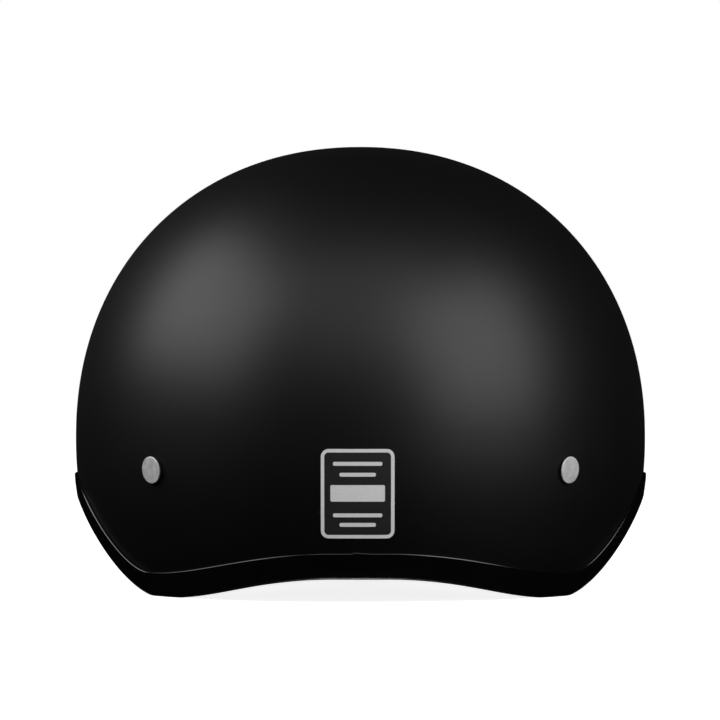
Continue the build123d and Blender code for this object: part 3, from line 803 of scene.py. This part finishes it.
def webbing(name, centre, across, through, width=webbing_width, thickness=webbing_thickness, start=0.0,
            sign=1):
    """Strip of webbing along a line of points, with its direction across and through at each point.

    Its UV is the length along the strip and the length round its section, in metres.
    """
    section, round_length = webbing_section(width, thickness)
    points = centre[:, None] + section[:, :1] * across[:, None] + section[:, 1:] * through[:, None]
    run = np.concatenate([[0], np.cumsum(np.linalg.norm(np.diff(centre, axis=0), axis=1))]) + start
    marks = np.stack(np.broadcast_arrays(run[:, None], round_length[None]), -1)
    return grid_mesh(name, points * (sign, 1, 1), round_columns=True, marks=marks, sharp=50)


nylon_finish, tree, shader = new_finish("nylon_webbing", Sheen_Weight=0.25, Sheen_Roughness=0.4,
                                        Specular_IOR_Level=0.4)
weave = node(tree, "SeparateXYZ", {"Vector": uv_spot(tree)})
warp = math_node(tree, "SINE", math_node(tree, "MULTIPLY", weave.outputs["X"], math.pi / (0.9 * mm)))
weft = math_node(tree, "SINE", math_node(tree, "MULTIPLY", weave.outputs["Y"], math.pi / (1.1 * mm)))
crossing = spread(tree, math_node(tree, "MULTIPLY", warp, weft), 0, 1, -1, 1)
thread = noise(tree, 3500, 3)
woven = math_node(tree, "ADD", crossing, math_node(tree, "MULTIPLY", thread, 0.35))
nylon_colour = tint(tree, woven, (0.006, 0.006, 0.006), (0.030, 0.030, 0.031), 0.1, 1.1)
paint(tree, shader, nylon_colour, spread(tree, thread, 0.5, 0.75))
bump(tree, shader, woven, 0.22 * mm, 0.8)

thread_finish, tree, shader = new_finish("sewing_thread", Sheen_Weight=0.2, Specular_IOR_Level=0.5)
twist = noise(tree, 5200, 3)
thread_colour = tint(tree, twist, (0.018, 0.018, 0.019), (0.060, 0.060, 0.062))
paint(tree, shader, thread_colour, spread(tree, twist, 0.4, 0.6))
bump(tree, shader, twist, 0.05 * mm, 0.5)


def stitches(name, starts, ends, up, pitch=2.9 * mm, length=2.1 * mm, half_thickness=0.28 * mm):
    """Rows of stitches from each start to each end, as small flattened beads along the line."""
    spots, directions = [], []
    for start, end in zip(np.array(starts), np.array(ends)):
        run = np.linalg.norm(end - start)
        count = max(1, round(run / pitch))
        spots.append(start + (end - start) * ((np.arange(count) + 0.5) / count)[:, None])
        directions.append(np.tile((end - start) / run, (count, 1)))
    spots, directions = np.concatenate(spots), np.concatenate(directions)
    side = np.cross(up, directions)
    turn = np.linspace(0, 2 * np.pi, 8, endpoint=False)[:, None, None]
    lift = np.linspace(0, np.pi, 7)[None, :, None]
    bead = (directions[:, None, None] * -np.cos(lift) * length / 2
            + side[:, None, None] * np.sin(lift) * np.cos(turn) * half_thickness
            + np.array(up) * np.sin(lift) * np.sin(turn) * half_thickness)
    return grid_mesh(name, spots[:, None, None] + bead, round_rows=True, sharp=60)


def bezier(first, second, third, last, steps):
    """Cubic curve through the first and last points."""
    t = np.linspace(0, 1, steps)[:, None]
    return (1 - t) ** 3 * first + 3 * (1 - t) ** 2 * t * second + 3 * (1 - t) * t**2 * third + t**3 * last


def smooth(t):
    """Half wave from zero to one."""
    t = np.clip(t, 0, 1)
    return t * t * (3 - 2 * t)


tip_centre = np.array([tip_u - webbing_width / 2, tip_v])
for end, (angle, rivet_z) in rivet_spots.items():
    spread_angle = math.degrees(webbing_width / 2 / half_width)
    rims = rim_height(angle + np.array([-spread_angle, 0, spread_angle]))
    drop = rims.min() + drop_rise
    step_z = rims.max() + joggle_height
    _, level, _, out = wall_frame(angle, rivet_z)
    down_z = np.linspace(rivet_z + tab_rise, drop, 40)
    step_share = smooth((step_z + joggle_reach / 2 - down_z) / joggle_reach)
    inset = upper_inset + (lower_inset - upper_inset) * step_share
    wall_line = wall_points(angle, down_z, inset + webbing_thickness / 2)
    leg_start = np.array(to_strap(wall_line[-1]))
    leg = unit(tip_centre - leg_start)
    hinge_spot = leg_start - leg * leg_start[0] / leg[0]
    plane_out = strap_points(*(hinge_spot - leg * turn_reach), 0)
    hinge_point = strap_points(*hinge_spot, 0)
    turn_line = bezier(wall_line[-1], wall_line[-1] - (0, 0, turn_drop), plane_out, hinge_point, 26)[1:]
    flat_u = np.linspace(hinge_spot[0], tip_centre[0], 50)[1:]
    flat_v = hinge_spot[1] + leg[1] / leg[0] * (flat_u - hinge_spot[0])
    line = np.concatenate([wall_line, turn_line, strap_points(flat_u, flat_v, 0)])
    leg_across = strap_points(-leg[1], leg[0], 0) - strap_points(0, 0, 0)
    if leg_across @ level < 0:
        leg_across = -leg_across
    swing = smooth((np.arange(len(line)) - len(wall_line) + 1) / len(turn_line))[:, None]
    along = unit(np.gradient(line, axis=0))
    across = level * (1 - swing) + leg_across * swing
    across = unit(across - (across * along).sum(1, keepdims=True) * along)
    through = np.cross(along, across)
    for side, sign in hands:
        strip = webbing(f"yoke_webbing_{end}_{side}", line, across, through, sign=sign)
        bend = (strap_points(-hinge_bend, 0, 0, sign), strap_points(hinge_bend, 0, 0, sign))
        fit(strip, nylon_finish, ("helmet", f"yoke_{side}"),
            [f"strap_tab_{end}_{side}", f"yoke_leg_{end}_{side}"], bend)

plane_across = strap_points(0, 1, 0) - strap_points(0, 0, 0)
plane_up = strap_points(0, 0, 1) - strap_points(0, 0, 0)


def flat_strip(name, start, end, w, sign, thickness=webbing_thickness, first=0.0):
    """Straight strip in the strap plane between two u places, centred on the height w."""
    steps = np.linspace(start, end, max(2, round(abs(end - start) / strip_step)))
    line = strap_points(steps, tip_v, w)
    count = (len(steps), 1)
    across, through = np.tile(plane_across, count), np.tile(plane_up, count)
    return webbing(name, line, across, through, webbing_width, thickness, first, sign)


def bent_strip(name, line, sign=1):
    """Strip of webbing that bends only up and down, in the strap plane's u and w."""
    across = np.tile(plane_across, (len(line), 1))
    return webbing(name, line, across, np.cross(unit(np.gradient(line, axis=0)), across), sign=sign)


def box_stitch(name, u, half, w, sign):
    """Square of stitches with a cross in it."""
    corner_u = np.array([-1, 1, 1, -1]) * half + u
    corner_v = np.array([-1, -1, 1, 1]) * half + tip_v
    corners = strap_points(corner_u, corner_v, w, sign)
    starts = [*corners, corners[0], corners[1]]
    ends = [*np.roll(corners, -1, 0), corners[2], corners[3]]
    return stitches(name, starts, ends, plane_up * (sign, 1, 1))


tip_thickness = 1.9 * mm
for side, sign in hands:
    tip = flat_strip(f"yoke_tip_{side}", tip_u - webbing_width, tip_u, 0, sign, tip_thickness)
    fit(tip, nylon_finish, f"yoke_{side}")
    for face, w in (("upper", tip_thickness / 2), ("lower", -tip_thickness / 2)):
        box = box_stitch(f"tip_stitching_{face}_{side}", tip_u - webbing_width / 2, tip_box_half, w, sign)
        fit(box, thread_finish, f"yoke_{side}")

# Ring strap and D rings
# A doubled length of the same webbing on the left, folded round the straight bars of two chromed rings and
# bar tacked behind them. At rest it lies folded back on the yoke's tip.
fold_pitch = 2 * mm
strap_w = 2 * mm
ring_wire = 2 * mm
ring_clearance = 0.15 * mm
ring_half = 14 * mm
ring_corner = 4 * mm
loop_radius = ring_wire + ring_clearance + webbing_thickness / 2
ring_strap_length = 38 * mm
ring_pitch = 2 * (ring_wire + ring_clearance)
loop_outer = ring_wire + ring_clearance + webbing_thickness
loop_u = tip_u - ring_strap_length - loop_outer
low_bar_w = 3 * mm - (hinge_z - loop_u * math.sin(slope)) + loop_outer
high_bar_w = low_bar_w + ring_pitch
fillet = webbing_thickness / 2
wall_u = loop_u + loop_radius
upper_w = strap_w + webbing_thickness
loop_line = np.concatenate([
    np.stack([np.linspace(tip_u, wall_u + fillet, 24)[:-1], np.full(23, strap_w)], 1),
    arc(wall_u + fillet, strap_w - fillet, fillet, 90, 180, 6),
    arc(loop_u, low_bar_w, loop_radius, 0, -180, 18),
    arc(loop_u, high_bar_w, loop_radius, 180, 0, 18),
    arc(wall_u + fillet, upper_w + fillet, fillet, 180, 270, 6),
    np.stack([np.linspace(wall_u + fillet, tip_u, 24)[1:], np.full(23, upper_w)], 1),
])
ring_strap = bent_strip("ring_strap_webbing", strap_points(loop_line[:, 0], tip_v, loop_line[:, 1]))
fit(ring_strap, nylon_finish, "ring_strap", ["ring_strap"])


def fold_piece(name, u, w, sign, outward, bodies):
    """Half turn of webbing that joins two layers at a fold."""
    turn = np.linspace(-90, 90, 17)
    radius = fold_pitch / 2
    bow_u = u + outward * radius * np.cos(np.radians(turn))
    bow_w = w + radius * np.sin(np.radians(turn))
    piece = bent_strip(name, strap_points(bow_u, tip_v, bow_w), sign)
    start = strap_points(u, tip_v, w - radius, sign)
    end = strap_points(u, tip_v, w + radius, sign)
    return fit(piece, nylon_finish, bodies, (), (start, end))


fold_piece("ring_strap_turn", tip_u, fold_pitch / 2, 1, 1, ("yoke_left", "ring_strap"))
tack_u = wall_u + 3 * mm + np.arange(3) * 1.2 * mm
tack_v = np.array([-8, 8]) * mm + tip_v
for number, w in enumerate((upper_w + webbing_thickness / 2, strap_w - webbing_thickness / 2)):
    starts = strap_points(tack_u, tack_v[0], w)
    ends = strap_points(tack_u, tack_v[1], w)
    tack = stitches(f"ring_strap_bar_tack_{number}", starts, ends, plane_up)
    fit(tack, thread_finish, "ring_strap")

chrome_finish, tree, shader = new_finish("chrome_wire", Metallic=1.0)
polish = noise(tree, 260, 3)
chrome_colour = tint(tree, polish, (0.62, 0.62, 0.63), (0.78, 0.78, 0.79))
paint(tree, shader, chrome_colour, spread(tree, noise(tree, 1100, 4), 0.08, 0.2))
bump(tree, shader, polish, 0.02 * mm, 0.4)
bend_steps = 10
ring_line = np.concatenate([
    arc(ring_corner, ring_half - ring_corner, ring_corner, 180, 90, bend_steps),
    arc(ring_corner, 0, ring_half, 90, -90, 60)[1:-1],
    arc(ring_corner, ring_corner - ring_half, ring_corner, -90, -180, bend_steps),
    np.stack([np.zeros(12), np.linspace(ring_corner - ring_half, ring_half - ring_corner, 14)[1:-1]], 1),
])
for ring, bar_w in (("d_ring_lower", low_bar_w), ("d_ring_upper", high_bar_w)):
    line = strap_points(loop_u - ring_line[:, 0], tip_v + ring_line[:, 1], bar_w)
    beside = np.cross(unit(np.roll(line, -1, 0) - np.roll(line, 1, 0)), plane_up)
    turn = np.linspace(0, 2 * np.pi, 20, endpoint=False)[None, :, None]
    points = line[:, None] + ring_wire * (np.cos(turn) * beside[:, None] + np.sin(turn) * plane_up)
    wire = grid_mesh(f"{ring}_wire", points, round_rows=True, round_columns=True)
    fit(wire, chrome_finish, ring, [ring])

# Chin strap
# One long length of webbing on the right, drawn here as it is put away: five lengths folded over each other.
# It unfolds under the chin, passes through both rings and back, and its end snaps down.
chin_fold_length = 36 * mm
fold_end_gap = 0.05 * mm
outer_u = tip_u - chin_fold_length
lengths = ("first", "second", "third", "fourth", "end")
for layer, length in enumerate(lengths):
    w = strap_w + layer * fold_pitch
    strip = flat_strip(f"chin_webbing_{length}", tip_u - fold_end_gap, outer_u + fold_end_gap, w, -1,
                       first=layer * chin_fold_length)
    fit(strip, nylon_finish, f"chin_{length}", [f"chin_strap_{length}"])
    before = "yoke_right" if layer == 0 else f"chin_{lengths[layer - 1]}"
    at_tip = layer % 2 == 0
    fold_piece(f"chin_webbing_turn_{length}", tip_u if at_tip else outer_u, w - fold_pitch / 2, -1,
               1 if at_tip else -1, (before, f"chin_{length}"))

# Snap
# A pressed brass snap under black lacquer that holds the strap's loose end: the stud on the ring strap, and
# the cap with its rolled edge near the strap's end.
lacquer_finish, tree, shader = new_finish("black_lacquered_brass", Specular_IOR_Level=0.7)
lacquer_colour = tint(tree, noise(tree, 420, 3), (0.028, 0.028, 0.028), (0.055, 0.053, 0.05))
paint(tree, shader, lacquer_colour, spread(tree, noise(tree, 1300, 4), 0.2, 0.34))
bump(tree, shader, noise(tree, 800, 2), 0.02 * mm, 0.4)
snap_seat = 0.05 * mm
cap_radius = 6 * mm
cap_thickness = 2.4 * mm
stud_radius = 5.5 * mm
stud_base = 1 * mm
post_radius = 2.1 * mm
post_height = 2.6 * mm
cap_profile = np.concatenate([
    [[0, cap_thickness - 0.5 * mm], [cap_radius * 0.55, cap_thickness - 0.45 * mm]],
    [[cap_radius * 0.68, cap_thickness - 0.1 * mm], [cap_radius * 0.76, cap_thickness]],
    arc(cap_radius - 0.8 * mm, cap_thickness - 0.8 * mm, 0.8 * mm, 90, 0, 8),
    [[cap_radius, 0.5 * mm]],
    arc(cap_radius - 0.3 * mm, 0.3 * mm, 0.3 * mm, 0, -90, 4),
    [[0, 0]],
])
stud_profile = np.concatenate([
    [[0, post_height - 0.1 * mm]],
    arc(post_radius - 0.5 * mm, post_height - 0.5 * mm, 0.5 * mm, 90, -20, 8),
    [[post_radius - 0.45 * mm, stud_base + 0.5 * mm], [post_radius + 0.3 * mm, stud_base + 0.1 * mm]],
    [[stud_radius - 1.2 * mm, stud_base]],
    arc(stud_radius - 0.4 * mm, stud_base - 0.4 * mm, 0.4 * mm, 90, 0, 5),
    [[stud_radius, 0], [0, 0]],
])
end_w = strap_w + (len(lengths) - 1) * fold_pitch
snap_fits = {
    "snap_stud": (stud_profile, tip_u - ring_strap_length / 2, upper_w, 1, "ring_strap"),
    "snap_cap": (cap_profile, outer_u + 2 * cap_radius, end_w, -1, "chin_end"),
}
for name, (profile, u, w, sign, body) in snap_fits.items():
    spot = strap_points(u, tip_v, w + webbing_thickness / 2 + snap_seat)
    points = revolved(profile, spot, np.cross(plane_across, plane_up), plane_across, plane_up) * (sign, 1, 1)
    snap = grid_mesh(f"{name}_pressing", points, round_rows=True, sharp=35)
    fit(snap, lacquer_finish, body, [name])

# Floor and backdrop
# A pale studio floor that takes the helmet's shadow, and a white surround. From below the floor is clear,
# so that the inside can be looked at.
floor_half = 4.0
near_glow = 0.86
floor_points = np.array([[[-1, -1, 0], [-1, 1, 0]], [[1, -1, 0], [1, 1, 0]]]) * floor_half
mesh = bpy.data.meshes.new("studio_floor")
mesh.from_pydata(floor_points.reshape(-1, 3).tolist(), [], [(0, 2, 3, 1)])
floor = bpy.data.objects.new("studio_floor", mesh)
bpy.context.scene.collection.objects.link(floor)
floor_finish = bpy.data.materials.new("pale_floor")
floor_finish.use_nodes = True
tree = floor_finish.node_tree
tree.nodes.clear()
ray = node(tree, "LightPath")
paper = node(tree, "BsdfDiffuse", {"Color": (0.8, 0.8, 0.8, 1)})
away = node(tree, "VectorMath", {0: place(tree)}, operation="LENGTH").outputs["Value"]
rise = spread(tree, away, near_glow, 1.0, 0.15, 0.32)
strength = math_node(tree, "MULTIPLY", ray.outputs["Is Camera Ray"], rise)
glow = node(tree, "Emission", {"Color": (1, 1, 1, 1), "Strength": strength})
lit = node(tree, "AddShader", {0: paper.outputs[0], 1: glow.outputs[0]})
dark_side = node(tree, "Emission", {"Color": (1, 1, 1, 1), "Strength": 0.002})
seen = node(tree, "MixShader", {0: ray.outputs["Is Glossy Ray"], 1: lit.outputs[0], 2: dark_side.outputs[0]})
clear = node(tree, "BsdfTransparent")
back = node(tree, "NewGeometry").outputs["Backfacing"]
see_through = math_node(tree, "MAXIMUM", back, ray.outputs["Is Shadow Ray"])
final = node(tree, "MixShader", {0: see_through, 1: seen.outputs[0], 2: clear.outputs[0]})
node(tree, "OutputMaterial", {"Surface": final.outputs[0]})
floor.data.materials.append(floor_finish)

world = bpy.data.worlds.new("studio_surround")
bpy.context.scene.world = world
world.use_nodes = True
tree = world.node_tree
tree.nodes.clear()
ray = node(tree, "LightPath")
height = node(tree, "SeparateXYZ", {"Vector": node(tree, "TexCoord").outputs["Generated"]}).outputs["Z"]
white_ray = math_node(tree, "MAXIMUM", ray.outputs["Is Camera Ray"], ray.outputs["Is Transmission Ray"])
band = spread(tree, math_node(tree, "ABSOLUTE", height), 0.012, 0.002, 0.0, 0.16)
room_parts = {"Fac": ray.outputs["Is Glossy Ray"], "Color1": (0.1, 0.1, 0.1, 1), "Color2": band}
room = node(tree, "MixRGB", room_parts)
light = node(tree, "MixRGB", {"Fac": white_ray, "Color1": room.outputs["Color"], "Color2": (1, 1, 1, 1)})
surround = node(tree, "Background", {"Color": light.outputs["Color"], "Strength": 1.0})
node(tree, "OutputWorld", {"Surface": surround.outputs[0]})

# Studio lamps
# Two tall soft boxes, one on each side behind the camera's line, a faint one overhead, and a small one
# under the clear floor for looks from below.
lamps = {
    "soft_box_left": ((0.793, 0.118, 0.598), 1.3, 1.31, 0.91, 9.8),
    "soft_box_right": ((-0.715, 0.526, 0.461), 1.3, 1.11, 1.10, 10.6),
    "overhead": ((0.0, 0.643, 0.766), 1.4, 1.2, 1.2, 3.9),
    "under_light": ((0.0, 0.0, -1.0), 0.5, 0.1, 0.1, 1.2),
}
target = np.array([0, 0, 0.09])
for name, (direction, distance, width, height, power) in lamps.items():
    lamp = bpy.data.lights.new(name, "AREA")
    lamp.shape = "RECTANGLE"
    lamp.size = width
    lamp.size_y = height
    lamp.energy = power
    holder = bpy.data.objects.new(name, lamp)
    direction = unit(np.array(direction))
    holder.location = target + direction * distance
    holder.rotation_euler = Vector(direction).to_track_quat("Z", "Y").to_euler()
    bpy.context.scene.collection.objects.link(holder)

# Camera
# It looks level at the back of the helmet, from a little over a metre and a half away.
camera_shift = 0.2 * mm
camera_distance = 1.6
camera_level = 94.3 * mm
camera = bpy.data.cameras.new("camera")
camera.lens = 189.7
camera.sensor_width = 36
camera_holder = bpy.data.objects.new("camera", camera)
camera_holder.location = (camera_shift, camera_distance, camera_level)
camera_holder.rotation_euler = (math.radians(90), 0, math.radians(180))
bpy.context.scene.collection.objects.link(camera_holder)
bpy.context.scene.camera = camera_holder
bpy.context.scene.view_settings.view_transform = "Standard"
